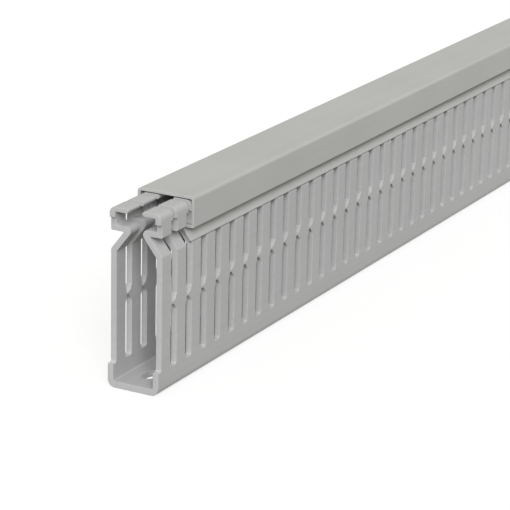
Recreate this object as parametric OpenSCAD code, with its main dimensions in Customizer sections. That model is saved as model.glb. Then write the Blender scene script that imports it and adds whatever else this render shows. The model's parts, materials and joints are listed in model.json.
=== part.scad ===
// Slotted wire duct: an extruded trunking with break-out fingers, and its clip-on cover.
// Millimetres. X across, Y along the stock, Z up. Z = 0 is the underside, Y = 0 mid length.

/* [Stock] */
// Length of the trunking and of the cover
duct_l = 1000; // [250:12.5:1200]
// Width over the side walls
duct_w = 25; // [22:0.5:60]
// Height over the finger heads
duct_h = 80; // [60:0.5:100]

/* [Trunking walls] */
// Side wall
wall_t = 2.75; // [1.6:0.05:3]
// Floor
floor_t = 3; // [1.5:0.1:5]
// Rounding of the outer bottom corners
base_r = 3.5; // [0.5:0.1:4]
// Rounding of the inner bottom corners
floor_r = 0.8; // [0.2:0.1:2]

/* [Fingers] */
// Distance from slot to slot
pitch = 12.5; // [10:0.5:25]
// Slot between two fingers
slot_w = 5; // [3:0.1:8]
// Underside of the stock to the slot bottom
slot_z = 10.5; // [6:0.5:20]
// Rounding in the slot bottom
slot_r = 1; // [0.3:0.1:1.4]
// Middle of the break-out web
web_z = 38.9; // [30:0.1:50]
// Thinnest place of the break-out web
web_t = 1.2; // [0.3:0.1:1.5]
// Depth of the V above the web
vee_up = 3.1; // [2:0.1:6]
// Depth of the peak below the web
vee_down = 2.4; // [0.6:0.1:4]

/* [Finger heads] */
// Lean of the neck from the vertical, in degrees
neck_a = 37.5; // [25:0.5:45]
// Height of the head, from its underside to its top
head_h = 10.7; // [8:0.1:14]
// Reach of the head's lip, from the outer face inwards
lip_reach = 9.2; // [6:0.1:9.4]
// Thickness of the lip
lip_t = 2.1; // [1:0.1:2.5]
// Thickness of the head's shelf
shelf_t = 2.6; // [1.5:0.1:3]
// Height of the cap, the wider top of the head
cap_h = 4.8; // [3:0.1:6]
// How far the cap overhangs the finger on each side
cap_over = 1.2; // [0.3:0.1:2]
// Rounding of the head's top outer corner
head_r = 2; // [0.5:0.1:2.5]
// Rounding of the nose, where the neck turns into the shelf
nose_r = 2.2; // [1:0.1:2.5]

/* [Base holes] */
// Width of the oblong hole
hole_w = 6; // [4:0.5:8]
// Length of the oblong hole
hole_l = 11; // [8.5:0.5:16]
// Distance from hole to hole
hole_pitch = 50; // [25:12.5:100]
// Front end of the trunking to the first hole
hole_first = 15; // [10:0.5:25]

/* [Cover] */
// How far the cover is slid back
cover_back = 26; // [0:0.5:60]
// Clearance between cover and heads
fit = 0.1; // [0.05:0.05:0.3]
// Free height between the heads and the cover's top
play = 0.5; // [0.1:0.1:1]
// Top and sides of the cover
cover_t = 1.3; // [1:0.1:2]
// Thickness of the hook under the head
hook_t = 1.3; // [0.8:0.1:1.6]
// Thickness of the flared lip along the neck
flare_t = 1; // [0.8:0.1:1.4]
// Height of the flared lip, along Z
flare_h = 7.2; // [4:0.1:8]
// Rounding of the cover's outer top corners
cover_r = 1.6; // [0.5:0.1:2.5]

/* [Hidden] */
grey = [0.69, 0.69, 0.67];
lid_grey = [0.72, 0.72, 0.70];

half = duct_w / 2;
inner = half - wall_t;
head_z = duct_h - head_h;
shelf_z = head_z + shelf_t;
neck_n = [cos(neck_a), sin(neck_a)];
// X of the neck's outer face where it meets the head, and the height where it leaves the wall
root_x = half - lip_reach + nose_r + 0.7;
bend_z = head_z - (half - root_x) / tan(neck_a);
neck_d = half * neck_n.x + bend_z * neck_n.y;
// X on a plane that lies off the neck's outer face by d, at height z
function neck_x(z, d = 0) = (neck_d + d - z * neck_n.y) / neck_n.x;
// Height on the same plane, at x
function neck_z(x, d = 0) = (neck_d + d - x * neck_n.x) / neck_n.y;

// Corners [x, y, r, n]: each corner with a radius becomes n flats tangent to both sides.
function unit(v) = v / norm(v);
function turned(v, a) = [v.x * cos(a) - v.y * sin(a), v.x * sin(a) + v.y * cos(a)];
function corner(a, b, c) =
    let (p = [b.x, b.y], u = unit([a.x, a.y] - p), v = unit([c.x, c.y] - p), r = b[2])
    r == 0 ? [p] :
    let (open = acos(u * v), mid = p + unit(u + v) * r / sin(open / 2),
         side = sign(u.x * v.y - u.y * v.x), sweep = side * (180 - open),
         from = turned(u, side * -90) * r, n = b[3])
    [for (i = [0:n]) mid + turned(from, -sweep * i / n)];
function rounded(p) = [for (i = [0:len(p) - 1], q =
    corner(p[(i + len(p) - 1) % len(p)], p[i], p[(i + 1) % len(p)])) q];
function mirrored(p) = concat(p, [for (i = [len(p) - 1:-1:0]) [-p[i].x, p[i].y, p[i][2], p[i][3]]]);

// Cross-section of the trunking, before the slots are punched
module trunking_section() {
    polygon(rounded(mirrored([
        [half, 0, base_r, 4],
        [half, bend_z, 1.5, 2],
        [root_x, head_z, 0, 0],
        [half, head_z, 0.7, 2],
        [half, duct_h, head_r, 3],
        [half - lip_reach, duct_h, lip_t * 0.48, 2],
        [half - lip_reach, duct_h - lip_t, lip_t * 0.48, 2],
        [inner, duct_h - lip_t, 0.3, 1],
        [inner, shelf_z, 1, 2],
        [neck_x(shelf_z, -wall_t), shelf_z, nose_r, 4],
        [inner, neck_z(inner, -wall_t), 0.8, 1],
        [inner, floor_t, floor_r, 2]
    ])));
}

// Slot between two fingers: a peaked lower window, the break-out web, and the open upper part
module slot(c) {
    a = slot_w / 2;
    top = duct_h + 5;
    polygon(rounded([
        [c - a, slot_z, slot_r, 1], [c + a, slot_z, slot_r, 1],
        [c + a, web_z - web_t / 2 - vee_down, 0, 0], [c, web_z - web_t / 2, 0, 0],
        [c - a, web_z - web_t / 2 - vee_down, 0, 0]
    ]));
    polygon([
        [c, web_z + web_t / 2], [c + a, web_z + web_t / 2 + vee_up],
        [c + a, duct_h - cap_h], [c + a - cap_over, duct_h - cap_h], [c + a - cap_over, top],
        [c - a + cap_over, top], [c - a + cap_over, duct_h - cap_h], [c - a, duct_h - cap_h],
        [c - a, web_z + web_t / 2 + vee_up]
    ]);
}

// Half slot at a sawn end: no web is left there
module end_slot(c) {
    a = slot_w / 2;
    polygon(rounded([
        [c - a, slot_z, slot_r, 1], [c + a, slot_z, slot_r, 1], [c + a, duct_h - cap_h, 0, 0],
        [c + a - cap_over, duct_h - cap_h, 0, 0], [c + a - cap_over, duct_h + 5, 0, 0],
        [c - a + cap_over, duct_h + 5, 0, 0], [c - a + cap_over, duct_h - cap_h, 0, 0],
        [c - a, duct_h - cap_h, 0, 0]
    ]));
}

module along(l) { rotate([90, 0, 0]) translate([0, 0, -l / 2]) linear_extrude(l) children(); }
module across(w) { rotate([90, 0, 90]) translate([0, 0, -w / 2]) linear_extrude(w) children(); }

slots = floor(duct_l / pitch + 0.001);
slot_0 = -slots * pitch / 2;
holes = floor((duct_l - hole_first - hole_l / 2 - 2) / hole_pitch) + 1;

module trunking() {
    color(grey)
    difference() {
        along(duct_l) trunking_section();
        across(duct_w + 10) {
            for (i = [1:slots - 1]) slot(slot_0 + i * pitch);
            end_slot(slot_0);
            end_slot(-slot_0);
        }
        translate([0, 0, -1]) linear_extrude(floor_t + 2)
            for (i = [0:holes - 1]) translate([0, hole_first - duct_l / 2 + i * hole_pitch])
                base_hole();
    }
}

module base_hole() {
    c = (hole_l - hole_w) / 2;
    square([hole_w, 2 * c], center = true);
    for (s = [-1, 1]) translate([0, s * c]) circle(d = hole_w, $fn = 64);
}

// Cross-section of the cover: hooks under the heads, then flares out along the necks
module cover_section() {
    x = half + fit;
    z = duct_h + play;
    hook = head_z - fit;
    tip = hook - flare_h;
    polygon(rounded(mirrored([
        [x + cover_t, z + cover_t, cover_r, 4],
        [x + cover_t, hook - hook_t, 0.6, 2],
        [neck_x(hook - hook_t, fit + flare_t), hook - hook_t, 0.4, 1],
        [neck_x(tip, fit + flare_t), tip, 0.3, 1],
        [neck_x(tip, fit), tip, 0.3, 1],
        [neck_x(hook, fit), hook, 0.3, 1],
        [x, hook, 0.3, 1],
        [x, z, 0.7, 2]
    ])));
}

module cover() {
    color(lid_grey) translate([0, cover_back, 0]) along(duct_l) cover_section();
}

trunking();
cover();
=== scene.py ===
import json
import math
from collections import namedtuple

import bmesh
import bpy
from mathutils import Matrix, Vector
from mathutils.geometry import delaunay_2d_cdt

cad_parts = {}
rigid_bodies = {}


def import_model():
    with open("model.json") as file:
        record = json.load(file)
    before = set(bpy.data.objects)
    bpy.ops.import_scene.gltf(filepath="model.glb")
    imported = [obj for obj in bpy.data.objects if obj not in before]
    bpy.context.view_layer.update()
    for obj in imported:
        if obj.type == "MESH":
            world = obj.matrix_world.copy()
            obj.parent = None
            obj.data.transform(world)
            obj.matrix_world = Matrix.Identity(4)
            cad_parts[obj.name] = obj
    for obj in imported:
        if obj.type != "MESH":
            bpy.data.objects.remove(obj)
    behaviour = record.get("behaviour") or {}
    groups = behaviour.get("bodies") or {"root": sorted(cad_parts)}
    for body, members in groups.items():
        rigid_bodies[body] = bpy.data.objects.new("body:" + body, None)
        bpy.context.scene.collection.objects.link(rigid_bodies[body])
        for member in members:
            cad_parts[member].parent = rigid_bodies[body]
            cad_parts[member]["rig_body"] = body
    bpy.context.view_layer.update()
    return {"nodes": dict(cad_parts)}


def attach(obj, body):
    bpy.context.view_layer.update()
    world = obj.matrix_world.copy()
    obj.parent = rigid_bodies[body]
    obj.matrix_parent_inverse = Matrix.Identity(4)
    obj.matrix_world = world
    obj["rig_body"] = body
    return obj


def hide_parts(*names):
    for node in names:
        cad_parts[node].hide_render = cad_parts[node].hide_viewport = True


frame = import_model()

mm = 0.001
bodyOf = {node: obj["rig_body"] for node, obj in frame["nodes"].items()}

# Metres, but for the hole, where it is a share of the radius.
tolerance = {"merge": 2e-6, "tiny": 1e-6, "pieces": 3e-6, "hole": 0.999}


def linked(obj):
    bpy.context.scene.collection.objects.link(obj)
    return obj


view = {
    "position": (0.493326, -1.309529, 0.369487),  # metres
    "yaw": -28.2984,  # to the left of +Y
    "pitch": -17.9884,
    "roll": 1.2154,
    "lens": 168.98,
    "sensor": 36.0,
    "clip": (0.01, 200.0),  # metres
}


def makeCamera(opts):
    yaw, pitch, roll = (math.radians(opts[k]) for k in ("yaw", "pitch", "roll"))
    level = math.cos(pitch)
    ahead = Vector((math.sin(yaw) * level, math.cos(yaw) * level, math.sin(pitch)))
    side = Vector((math.cos(yaw), -math.sin(yaw), 0))
    above = side.cross(ahead)
    right = side * math.cos(roll) + above * math.sin(roll)
    up = above * math.cos(roll) - side * math.sin(roll)
    data = bpy.data.cameras.new("camera")
    data.lens = opts["lens"]
    data.sensor_width = opts["sensor"]
    data.clip_start, data.clip_end = opts["clip"]
    camera = linked(bpy.data.objects.new("camera", data))
    turn = Matrix((right, up, -ahead)).transposed().to_4x4()
    camera.matrix_world = Matrix.Translation(opts["position"]) @ turn
    bpy.context.scene.camera = camera


light = {
    "keyFrom": (0.446, -0.687, 0.574),  # from the front right
    "keyStrength": 2.54,
    "keyAngle": 30.0,
    "keyColour": (0.97, 0.97, 1.0),
    "skyColour": (1.0, 1.0, 0.93),
    "sky": 0.582,
    "ground": 0.20,  # light that comes back from below the horizon
    "horizon": 0.2,  # half height of the soft change from ground to sky
}


def makeSun(opts):
    data = bpy.data.lights.new("keySun", "SUN")
    data.energy = opts["keyStrength"]
    data.angle = math.radians(opts["keyAngle"])
    data.color = opts["keyColour"]
    sun = linked(bpy.data.objects.new("keySun", data))
    sun.rotation_mode = "QUATERNION"
    sun.rotation_quaternion = Vector(opts["keyFrom"]).to_track_quat("Z", "Y")


# A plain world with one strength above the horizon and another below it.
def makeWorld(opts):
    world = bpy.data.worlds.new("studio")
    world.use_nodes = True
    nodes, links = world.node_tree.nodes, world.node_tree.links
    direction, parts = nodes.new("ShaderNodeTexCoord"), nodes.new("ShaderNodeSeparateXYZ")
    height = nodes.new("ShaderNodeMapRange")
    links.new(direction.outputs["Generated"], parts.inputs[0])
    links.new(parts.outputs["Z"], height.inputs["Value"])
    height.inputs["From Min"].default_value = -opts["horizon"]
    height.inputs["From Max"].default_value = opts["horizon"]
    height.inputs["To Min"].default_value = opts["ground"]
    height.inputs["To Max"].default_value = opts["sky"]
    links.new(height.outputs[0], nodes["Background"].inputs["Strength"])
    nodes["Background"].inputs["Color"].default_value = (*opts["skyColour"], 1)
    bpy.context.scene.world = world
    bpy.context.scene.view_settings.view_transform = "Standard"


# Metres. Most of the floor's brightness is its own, so that shadows on it stay faint.
floor = {
    "side": 60.0,
    "colour": (0.26, 0.26, 0.26),
    "roughness": 0.8,
    "gloss": 0.1,
    "glow": 0.75,
    "glowColour": (1.0, 1.0, 1.0),
}


def makeFloor(opts):
    half = opts["side"] / 2
    corners = [(-half, -half, 0), (half, -half, 0), (half, half, 0), (-half, half, 0)]
    mesh = bpy.data.meshes.new("floor")
    mesh.from_pydata(corners, [], [(0, 1, 2, 3)])
    surface = bpy.data.materials.new("paleFloor")
    surface.use_nodes = True
    shader = surface.node_tree.nodes["Principled BSDF"]
    shader.inputs["Base Color"].default_value = (*opts["colour"], 1)
    shader.inputs["Roughness"].default_value = opts["roughness"]
    shader.inputs["Specular IOR Level"].default_value = opts["gloss"]
    shader.inputs["Emission Color"].default_value = (*opts["glowColour"], 1)
    shader.inputs["Emission Strength"].default_value = opts["glow"]
    mesh.materials.append(surface)
    plane = linked(bpy.data.objects.new("floor", mesh))
    plane.visible_diffuse = False


trunk = {
    "length": 1000.0,
    "width": 25.0,
    "height": 80.0,
    "wall": 2.75,
    "floor": 3.0,
    "pitch": 12.5,
    "slotWidth": 5.0,
    "slotBottom": 10.5,
    "slotRound": 1.0,
    "slotSteps": 3,
    "webMiddle": 38.8,  # the thin break-out web that ties a finger to the next one
    "webThickness": 1.0,
    "stub": 0.5,  # level part of the web, where two fingers are joined
    "noseBottom": 35.3,  # each web joins a short nose on one finger to a long one on the next
    "noseTop": 42.5,
    "noseSlope": 0.88,  # what the long nose's underside gains for each millimetre of height
    "noseStart": 1.3,  # height in which the short nose gets its full length
    "shortNose": 0.8,
    "shortTaper": (0.85, 0.75),  # share of the short nose left at the web's top and at the foot
    "foot": (0.9, 1.1),  # of the long nose's steep upper part: height over the web, and reach
    "shoulder": ((0.9, 0.3, 0.7), (0.25, 0.06, 0.28), (0.0, 0.0, 0.0)),  # drop, short, long reach
    "neckAngle": 37.5,
    "rootGap": 0.7,  # between the shelf's round nose and the neck's root
    "headHeight": 10.7,
    "lipReach": 9.2,
    "lip": 2.1,
    "shelf": 2.6,
    "cap": 4.8,  # the head's wider top part, and how much longer it is at each end
    "capOver": 1.2,
    # corners of the section's outer and inner face, from the base up to the lip's tip
    "outerRounds": {"base": 3.5, "bend": 1.5, "root": 0.25, "chin": 0.7, "head": 2.8},
    "innerRounds": {"base": 0.8, "bend": 0.8, "root": 2.2, "chin": 1.0, "head": 0.3},
    "roundSteps": (5, 3, 5, 3, 5, 4),
    "holeWidth": 6.0,
    "holeLength": 11.0,
    "holePitch": 50.0,
    "firstHole": 15.0,
    "holeSteps": 12,
    "edge": 0.18,  # rounding of a punched or sawn edge
}

# One level of the right half: the outer and inner point of its wall, the finger's half lengths just
# below it and just above it, each for the short and the long nose's end, and whether the next
# finger is joined on above it.
station = namedtuple("station", "outer inner below above joined")


# Flats on an arc that is tangent to both sides of a corner.
def roundedCorner(before, corner, after, radius, steps):
    corner = Vector(corner)
    a, b = (Vector(before) - corner).normalized(), (Vector(after) - corner).normalized()
    opening = math.acos(max(-1, min(1, a.dot(b))))
    middle = corner + (a + b).normalized() * radius / math.sin(opening / 2)
    start = corner + a * radius / math.tan(opening / 2) - middle
    side = 1 if a.x * b.y - a.y * b.x > 0 else -1
    points = []
    for i in range(steps + 1):
        turn = -side * (math.pi - opening) * i / steps
        c, s = math.cos(turn), math.sin(turn)
        points.append(middle + Vector((start.x * c - start.y * s, start.x * s + start.y * c)))
    return points


# The arcs at all corners (x, z) but the first and last, which only give directions.
def roundedPath(corners, radii, steps):
    triples = zip(corners, corners[1:], corners[2:])
    return [roundedCorner(*triple, radius, count)
            for triple, radius, count in zip(triples, radii, steps)]


# The x of the neck's root under the head, and the height of its bend out of the wall.
def neckEnds(opts):
    half = opts["width"] / 2
    rootX = half - opts["lipReach"] + opts["innerRounds"]["root"] + opts["rootGap"]
    headZ = opts["height"] - opts["headHeight"]
    return rootX, headZ - (half - rootX) / math.tan(math.radians(opts["neckAngle"]))


# The neck's outer face, moved out by an offset: its x at a height, and its height at an x.
def neckFace(opts, offset):
    angle = math.radians(opts["neckAngle"])
    across, up = math.cos(angle), math.sin(angle)
    reach = opts["width"] / 2 * across + neckEnds(opts)[1] * up + offset

    def xAt(z):
        return (reach - z * up) / across

    def zAt(x):
        return (reach - x * across) / up

    return xAt, zAt


# All levels of the right half, from the floor up to the lip's tip.
def trunkStations(opts):
    half, inner = opts["width"] / 2, opts["width"] / 2 - opts["wall"]
    top = opts["height"]
    headZ = top - opts["headHeight"]
    shelfZ, lipZ = headZ + opts["shelf"], top - opts["lip"]
    tipX, tipRound = half - opts["lipReach"], opts["lip"] / 2
    tipEnd = (tipX, top - tipRound)
    rootX, bendZ = neckEnds(opts)
    innerX, innerZ = neckFace(opts, -opts["wall"])
    outer = roundedPath(
        [(0, 0), (half, 0), (half, bendZ), (rootX, headZ), (half, headZ), (half, top),
         (tipX, top), tipEnd],
        [*opts["outerRounds"].values(), tipRound], opts["roundSteps"])
    inside = roundedPath(
        [(0, opts["floor"]), (inner, opts["floor"]), (inner, innerZ(inner)),
         (innerX(shelfZ), shelfZ), (inner, shelfZ), (inner, lipZ), (tipX, lipZ), tipEnd],
        [*opts["innerRounds"].values(), tipRound], opts["roundSteps"])
    base, bend, root, chin, head, tip = (list(zip(*arcs)) for arcs in zip(outer, inside))

    web = opts["pitch"] / 2
    finger = web - opts["slotWidth"] / 2
    cap = finger + opts["capOver"]
    stations = []

    def add(points, below, above=None, joined=False):
        for out, into in points:
            stations.append(station(out, into, below, above or below, joined))

    def level(z, below, above=None, joined=False):
        add([(Vector((half, z)), Vector((inner, z)))], below, above, joined)

    add(base, (web, web), joined=True)
    for i in range(opts["slotSteps"] + 1):
        angle = math.pi / 2 * i / opts["slotSteps"]
        length = finger + opts["slotRound"] * (1 - math.sin(angle))
        z = opts["slotBottom"] + opts["slotRound"] * (1 - math.cos(angle))
        level(z, (web, web) if i == 0 else (length, length), (length, length))

    low, short = opts["noseBottom"], opts["shortNose"]
    webLow = opts["webMiddle"] - opts["webThickness"] / 2
    webHigh = webLow + opts["webThickness"]
    joint = finger + short + opts["stub"]  # where one finger's share of the web ends
    farJoint = finger + opts["slotWidth"] - short - opts["stub"]
    (taper, footTaper), (footHeight, footReach) = opts["shortTaper"], opts["foot"]
    slope = opts["noseSlope"]
    level(low, (finger, finger))
    level(low + opts["noseStart"], (finger + short, finger + opts["noseStart"] * slope))
    level(webLow, (finger + short, finger + (webLow - low) * slope), (joint, farJoint), True)
    level(webHigh, (joint, farJoint), (finger + taper * short, farJoint - opts["stub"]))
    level(webHigh + footHeight, (finger + footTaper * short, finger + footReach))
    for drop, near, far in opts["shoulder"]:
        level(opts["noseTop"] - drop, (finger + near, finger + far))

    add(bend + root + chin, (finger, finger))
    level(top - opts["cap"], (finger, finger), (cap, cap))
    add(head + tip, (cap, cap))
    return stations


# Adds a face through points in millimetres. A cut of 1 is where the punch or the saw went through.
def addFace(build, points, cut):
    verts = [build["bm"].verts.new([value * mm for value in point]) for point in points]
    build["bm"].faces.new(verts)[build["cut"]] = cut


# One finger with its share of wall. A free end has no web and is closed by a sawn face.
def fingerColumn(build, stations, side, middle, opts, freeMinus, freePlus):
    finger = (opts["pitch"] - opts["slotWidth"]) / 2
    ends = ((-1, 1, freeMinus), (1, 0, freePlus))  # direction, which nose, whether free

    def reach(here, lengths, end):
        sign, nose, free = end
        webless = free and opts["noseBottom"] <= round(here.outer.y, 3) < opts["noseTop"]
        return sign * (finger if webless else lengths[nose])

    def spread(here, lengths):
        return [reach(here, lengths, end) for end in ends]

    # the lengths on this side of a level, with those of its other side that lie between them
    def stops(near, far):
        return sorted({*near, *(y for y in far if near[0] < y < near[1])})

    def face(ring, cut):
        addFace(build, [(side * point.x, middle + y, point.y) for point, y in ring], cut)

    for low, high in zip(stations, stations[1:]):
        bottom, upper = spread(low, low.above), spread(high, high.below)
        lowStops = stops(bottom, spread(low, low.below))
        highStops = stops(upper, spread(high, high.above))
        for lowPoint, highPoint in ((low.outer, high.outer), (low.inner, high.inner)):
            ring = [(lowPoint, y) for y in lowStops]
            ring += [(highPoint, y) for y in reversed(highStops)]
            face(ring, 0.0)
        for (_, _, free), a, b in zip(ends, bottom, upper):
            if free or not low.joined:
                face([(low.outer, a), (high.outer, b), (high.inner, b), (low.inner, a)], 1.0)
    for here in stations:  # level steps: the slot's bottom, the web and the underside of the cap
        for a, b in zip(spread(here, here.below), spread(here, here.above)):
            if a != b:
                face([(here.outer, a), (here.outer, b), (here.inner, b), (here.inner, a)], 1.0)


# The floor between both walls over one hole pitch, with its oblong hole.
def floorPanel(build, first, start, opts, freeMinus, freePlus):
    length, count = opts["holePitch"], round(opts["holePitch"] / opts["pitch"])
    radius = opts["holeWidth"] / 2
    straight = opts["holeLength"] / 2 - radius
    centre = start + opts["firstHole"]
    hole = []
    for end, turn in ((1, 0.0), (-1, math.pi)):
        for i in range(opts["holeSteps"] + 1):
            angle = math.pi * i / opts["holeSteps"] + turn
            y = centre + end * straight + radius * math.sin(angle)
            hole.append(Vector((radius * math.cos(angle), y)))
    for edge, z in ((first.outer.x, 0.0), (first.inner.x, opts["floor"])):
        rim = [Vector((edge, start + i * opts["pitch"])) for i in range(count + 1)]
        rim += [Vector((-edge, p.y)) for p in reversed(rim)]
        borders = [(i, (i + 1) % len(rim)) for i in range(len(rim))]
        borders += [(len(rim) + i, len(rim) + (i + 1) % len(hole)) for i in range(len(hole))]
        flat, _, faces, *_ = delaunay_2d_cdt(rim + hole, borders, [], 0, tolerance["tiny"])
        for tri in faces:
            middle = sum((flat[i] for i in tri), Vector((0, 0))) / len(tri)
            away = Vector((middle.x, max(0, abs(middle.y - centre) - straight)))
            if away.length >= radius * tolerance["hole"]:  # outside the hole
                addFace(build, [(flat[i].x, flat[i].y, z) for i in tri], 0.0)
    for a, b in zip(hole, hole[1:] + hole[:1]):
        ring = [(*a, 0.0), (*b, 0.0), (*b, opts["floor"]), (*a, opts["floor"])]
        addFace(build, ring, 1.0)
    out, into = first.outer.x, first.inner.x
    for free, y in ((freeMinus, start), (freePlus, start + length)):
        if free:
            sawn = [(-out, 0.0), (out, 0.0), (into, opts["floor"]), (-into, opts["floor"])]
            addFace(build, [(x, y, z) for x, z in sawn], 1.0)


rounding = {
    "sharp": 60.0,  # an edge that turns by more than this is rounded
    "steps": 2,
    "profile": 0.5,
    # Rounded edge faces get this share in the face mask, so the material paints them paler as a
    # painted highlight.
    "cutAndEdgeHighlightShare": 0.5,  # a rounded edge is half as much of a cut face as a punched or sawn one
}


# Joins the loose faces, rounds the sharp edges and gives the mesh. An edge on the border of a
# piece, where the next one joins, stays as it is.
def finishedMesh(name, build, width):
    bm = build["bm"]
    bmesh.ops.remove_doubles(bm, verts=bm.verts, dist=tolerance["merge"])
    bmesh.ops.dissolve_degenerate(bm, edges=bm.edges, dist=tolerance["tiny"])
    bmesh.ops.recalc_face_normals(bm, faces=bm.faces)
    bm.normal_update()
    leastTurn = math.radians(rounding["sharp"])
    inside = [edge for edge in bm.edges if len(edge.link_faces) == 2 and edge.is_convex]
    sharp = [edge for edge in inside if edge.calc_face_angle(0) >= leastTurn]
    made = bmesh.ops.bevel(
        bm, geom=sharp, offset=width * mm, offset_type="OFFSET", segments=rounding["steps"],
        profile=rounding["profile"], affect="EDGES", clamp_overlap=False, loop_slide=False)
    # Marks the rounded edges, where the material paints a highlight.
    for face in made["faces"]:
        face[build["cut"]] = rounding["cutAndEdgeHighlightShare"]
    for face in bm.faces:
        face.smooth = True
    mesh = bpy.data.meshes.new(name)
    bm.to_mesh(mesh)
    bm.free()
    return mesh


def newBuild():
    bm = bmesh.new()
    # A face mask: 1 on cut faces (paler from real whitening), 0.5 on rounded edges (a painted
    # highlight).
    return {"bm": bm, "cut": bm.faces.layers.float.new("cutFaceAndEdgeHighlight")}


# One hole pitch of trunking: four fingers a side and a floor hole.
def trunkPiece(name, opts, start, freeMinus, freePlus):
    build, stations = newBuild(), trunkStations(opts)
    count = round(opts["holePitch"] / opts["pitch"])
    for side in (1, -1):
        for i in range(count):
            middle = start + (i + 0.5) * opts["pitch"]
            free = (freeMinus and i == 0, freePlus and i == count - 1)
            fingerColumn(build, stations, side, middle, opts, *free)
    floorPanel(build, stations[0], start, opts, freeMinus, freePlus)
    return linked(bpy.data.objects.new(name, finishedMesh(name, build, opts["edge"])))


lid = {
    "back": 26.0,  # how far the cover is slid back
    "fit": 0.1,
    "play": 0.5,
    "wall": 1.3,
    "hook": 1.3,
    "flare": 1.0,
    "flareHeight": 7.2,
    # from the top's outer corner down, round the hook and the lip, and up to the inner corner
    "rounds": (1.6, 0.6, 0.4, 0.3, 0.3, 0.3, 0.3, 0.7),
    "roundSteps": (6, 3, 3, 3, 3, 3, 3, 4),
    "edge": 0.15,
}


# The cover: hooks under the heads, and lips that flare out along the necks.
def coverMesh(name, opts, duct):
    x, z = duct["width"] / 2 + opts["fit"], duct["height"] + opts["play"]
    outX, outZ = x + opts["wall"], z + opts["wall"]
    hook = duct["height"] - duct["headHeight"] - opts["fit"]
    under, tip = hook - opts["hook"], hook - opts["flareHeight"]
    near, far = (neckFace(duct, opts["fit"] + more)[0] for more in (0.0, opts["flare"]))
    right = [(outX, outZ), (outX, under), (far(under), under), (far(tip), tip),
             (near(tip), tip), (near(hook), hook), (x, hook), (x, z)]
    ring = right + [(-cornerX, cornerZ) for cornerX, cornerZ in reversed(right)]
    radii, steps = (opts[key] + opts[key][::-1] for key in ("rounds", "roundSteps"))
    arcs = roundedPath([ring[-1], *ring, ring[0]], radii, steps)
    outline = [point for arc in arcs for point in arc]
    front, back = (opts["back"] + side * duct["length"] / 2 for side in (-1, 1))
    build = newBuild()
    for a, b in zip(outline, outline[1:] + outline[:1]):
        corners = [(a, front), (b, front), (b, back), (a, back)]
        addFace(build, [(point.x, y, point.y) for point, y in corners], 0.0)
    for y in (front, back):
        addFace(build, [(point.x, y, point.y) for point in outline], 1.0)
    return finishedMesh(name, build, opts["edge"])


plastic = {
    "trunkColour": (0.466, 0.466, 0.469),
    "coverColour": (0.458, 0.460, 0.452),
    "ior": 1.5,
    "gloss": 0.15,
    "roughness": 0.42,
    "roughSwing": 0.05,
    "relief": 0.5,
    # scale, detail, and stretch across, along and up
    "lines": (420.0, 4.0, (1.0, 0.006, 1.0)),
    "mottle": (22.0, 3.0, (1.0, 1.0, 1.0)),
    "grain": (2600.0, 2.0, (1.0, 1.0, 1.0)),
    "marks": (1400.0, 3.0, (0.08, 1.0, 1.0)),  # drawn out along the punch's stroke
    "noiseRange": (0.3, 0.7),
    "lineTone": 0.03,  # share of the tone that the die lines change
    "mottleTone": 0.025,
    "lineDepth": 0.03,
    "grainDepth": 0.01,
    "markDepth": 0.05,
    # Paler tone of cut faces (real whitening) and of rounded edges (a painted highlight).
    "cutPaleAndEdgeHighlight": 1.08,
    "cutRough": 0.15,
    "cutStart": 0.6,  # above the rounded edges' share, so these are paler but not rougher
}
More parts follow.
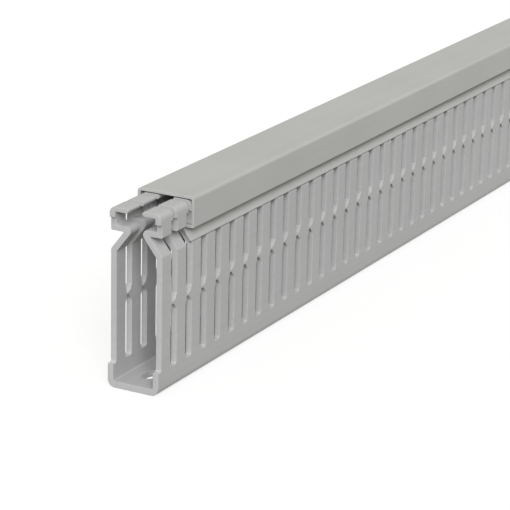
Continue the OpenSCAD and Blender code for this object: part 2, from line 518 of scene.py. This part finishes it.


# Extruded rigid PVC: fine die lines along the stock, a soft mottle, a fine grain, and paler,
# rougher faces where the punch or the saw went through, with its marks across them. The rounded
# edges get the same paler tone as a painted highlight, but not the roughness.
def plasticMaterial(name, colour, opts):
    material = bpy.data.materials.new(name)
    material.use_nodes = True
    nodes, links = material.node_tree.nodes, material.node_tree.links
    shader = nodes["Principled BSDF"]
    shader.inputs["IOR"].default_value = opts["ior"]
    shader.inputs["Specular IOR Level"].default_value = opts["gloss"]
    place = nodes.new("ShaderNodeTexCoord").outputs["Object"]
    cutFaceAndEdgeHighlight = nodes.new("ShaderNodeAttribute")
    cutFaceAndEdgeHighlight.attribute_name = "cutFaceAndEdgeHighlight"
    cutAndEdgeHighlightShare = cutFaceAndEdgeHighlight.outputs["Fac"]

    def noise(scale, detail, stretch):
        mapping, texture = nodes.new("ShaderNodeMapping"), nodes.new("ShaderNodeTexNoise")
        mapping.inputs["Scale"].default_value = stretch
        texture.inputs["Scale"].default_value = scale
        texture.inputs["Detail"].default_value = detail
        links.new(place, mapping.inputs["Vector"])
        links.new(mapping.outputs[0], texture.inputs["Vector"])
        return texture.outputs["Fac"]

    def ranged(source, low, high, span=opts["noiseRange"]):
        node = nodes.new("ShaderNodeMapRange")
        node.inputs["From Min"].default_value, node.inputs["From Max"].default_value = span
        node.inputs["To Min"].default_value, node.inputs["To Max"].default_value = low, high
        links.new(source, node.inputs["Value"])
        return node.outputs[0]

    def combined(operation, a, b):
        node = nodes.new("ShaderNodeMath")
        node.operation = operation
        links.new(a, node.inputs[0])
        links.new(b, node.inputs[1])
        return node.outputs[0]

    def bumped(height, depth, under=None):
        node = nodes.new("ShaderNodeBump")
        node.inputs["Strength"].default_value = opts["relief"]
        node.inputs["Distance"].default_value = depth * mm
        links.new(height, node.inputs["Height"])
        if under:
            links.new(under, node.inputs["Normal"])
        return node.outputs[0]

    lines, mottle, grain, marks = (noise(*opts[k]) for k in ("lines", "mottle", "grain", "marks"))
    cut = ranged(cutAndEdgeHighlightShare, 0.0, 1.0, (opts["cutStart"], 1.0))

    lineTone = ranged(lines, 1 - opts["lineTone"], 1 + opts["lineTone"])
    mottleTone = ranged(mottle, 1 - opts["mottleTone"], 1 + opts["mottleTone"])
    # Cut faces are paler from real whitening. Rounded edges get the same paler tone as a painted
    # highlight.
    cutPaleAndEdgeHighlight = ranged(cutAndEdgeHighlightShare, 1.0, opts["cutPaleAndEdgeHighlight"], (0.0, rounding["cutAndEdgeHighlightShare"]))
    tone = combined("MULTIPLY", combined("MULTIPLY", lineTone, mottleTone), cutPaleAndEdgeHighlight)
    shade = nodes.new("ShaderNodeVectorMath")
    shade.operation = "SCALE"
    shade.inputs[0].default_value = colour
    links.new(tone, shade.inputs["Scale"])
    links.new(shade.outputs[0], shader.inputs["Base Color"])

    swing = opts["roughSwing"]
    lineRough = ranged(lines, opts["roughness"] - swing, opts["roughness"] + swing)
    cutRough = ranged(cut, 0.0, opts["cutRough"], (0.0, 1.0))
    links.new(combined("ADD", lineRough, cutRough), shader.inputs["Roughness"])

    relief = bumped(lines, opts["lineDepth"])
    relief = bumped(grain, opts["grainDepth"], relief)
    relief = bumped(combined("MULTIPLY", marks, cut), opts["markDepth"], relief)
    links.new(relief, shader.inputs["Normal"])
    return material


# Sets the middle piece in a row, adds the two end pieces and joins them into one skin.
def stockTree(material):
    tree = bpy.data.node_groups.new("punchedStock", "GeometryNodeTree")
    inputs = {
        "Geometry": "Geometry", "Middle piece": "Object", "Front piece": "Object",
        "Back piece": "Object", "Count": "Int", "Piece length": "Float", "Start": "Float",
    }
    for name, kind in inputs.items():
        tree.interface.new_socket(name, in_out="INPUT", socket_type="NodeSocket" + kind)
    tree.interface.new_socket("Geometry", in_out="OUTPUT", socket_type="NodeSocketGeometry")
    nodes, links = tree.nodes, tree.links
    given, result = nodes.new("NodeGroupInput"), nodes.new("NodeGroupOutput")

    def alongStock(name):
        node = nodes.new("ShaderNodeCombineXYZ")
        links.new(given.outputs[name], node.inputs["Y"])
        return node.outputs[0]

    def pieceFrom(name):
        node = nodes.new("GeometryNodeObjectInfo")
        links.new(given.outputs[name], node.inputs["Object"])
        return node.outputs["Geometry"]

    row, place = nodes.new("GeometryNodeMeshLine"), nodes.new("GeometryNodeInstanceOnPoints")
    links.new(given.outputs["Count"], row.inputs["Count"])
    links.new(alongStock("Start"), row.inputs["Start Location"])
    links.new(alongStock("Piece length"), row.inputs["Offset"])
    links.new(row.outputs[0], place.inputs["Points"])
    links.new(pieceFrom("Middle piece"), place.inputs["Instance"])
    joinAll = nodes.new("GeometryNodeJoinGeometry")
    for piece in (pieceFrom("Front piece"), pieceFrom("Back piece"), place.outputs[0]):
        links.new(piece, joinAll.inputs[0])
    merge = nodes.new("GeometryNodeMergeByDistance")
    merge.inputs["Distance"].default_value = tolerance["pieces"]
    paint = nodes.new("GeometryNodeSetMaterial")
    paint.inputs["Material"].default_value = material
    last = joinAll.outputs[0]
    for node in (nodes.new("GeometryNodeRealizeInstances"), merge, paint):  # one after another
        links.new(last, node.inputs["Geometry"])
        last = node.outputs[0]
    links.new(last, result.inputs[0])
    return tree


# The object's evaluated mesh, with weighted normals, as a new plain object. The old one is removed.
def baked(holder, name):
    normals = holder.modifiers.new("weightedNormal", "WEIGHTED_NORMAL")
    normals.keep_sharp = True
    graph = bpy.context.evaluated_depsgraph_get()
    mesh = bpy.data.meshes.new_from_object(
        holder.evaluated_get(graph), preserve_all_data_layers=True, depsgraph=graph)
    bpy.data.objects.remove(holder)
    return linked(bpy.data.objects.new(name, mesh))


def makeTrunking(opts, material):
    length, half = opts["holePitch"], opts["length"] / 2
    wanted = {
        "Middle piece": trunkPiece("middlePiece", opts, 0.0, False, False),
        "Front piece": trunkPiece("frontPiece", opts, -half, True, False),
        "Back piece": trunkPiece("backPiece", opts, half - length, False, True),
        "Count": round(opts["length"] / length) - 2,
        "Piece length": length * mm,
        "Start": (length - half) * mm,
    }
    parts = [value for value in wanted.values() if isinstance(value, bpy.types.Object)]
    holder = linked(bpy.data.objects.new("stockHolder", bpy.data.meshes.new("stockHolder")))
    modifier = holder.modifiers.new("punchedStock", "NODES")
    modifier.node_group = stockTree(material)
    for item in modifier.node_group.interface.items_tree:
        if item.in_out == "INPUT" and item.name in wanted:
            modifier[item.identifier] = wanted[item.name]
    made = baked(holder, "trunkingShape")
    for part in parts:
        bpy.data.objects.remove(part)
    return made


def makeCover(opts, duct, material):
    holder = linked(bpy.data.objects.new("coverHolder", coverMesh("coverShape", opts, duct)))
    made = baked(holder, "coverShape")
    made.data.materials.append(material)
    return made


makeCamera(view)
makeSun(light)
makeWorld(light)
makeFloor(floor)
print("camera, lights and floor made")

trunkPlastic = plasticMaterial("trunkPlastic", plastic["trunkColour"], plastic)
coverPlastic = plasticMaterial("coverPlastic", plastic["coverColour"], plastic)
trunkShape = makeTrunking(trunk, trunkPlastic)
print("trunking made:", len(trunkShape.data.polygons), "faces")
coverShape = makeCover(lid, trunk, coverPlastic)
print("cover made:", len(coverShape.data.polygons), "faces")

for piece, node in ((trunkShape, "trunking"), (coverShape, "cover")):
    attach(piece, bodyOf[node])
    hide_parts(node)
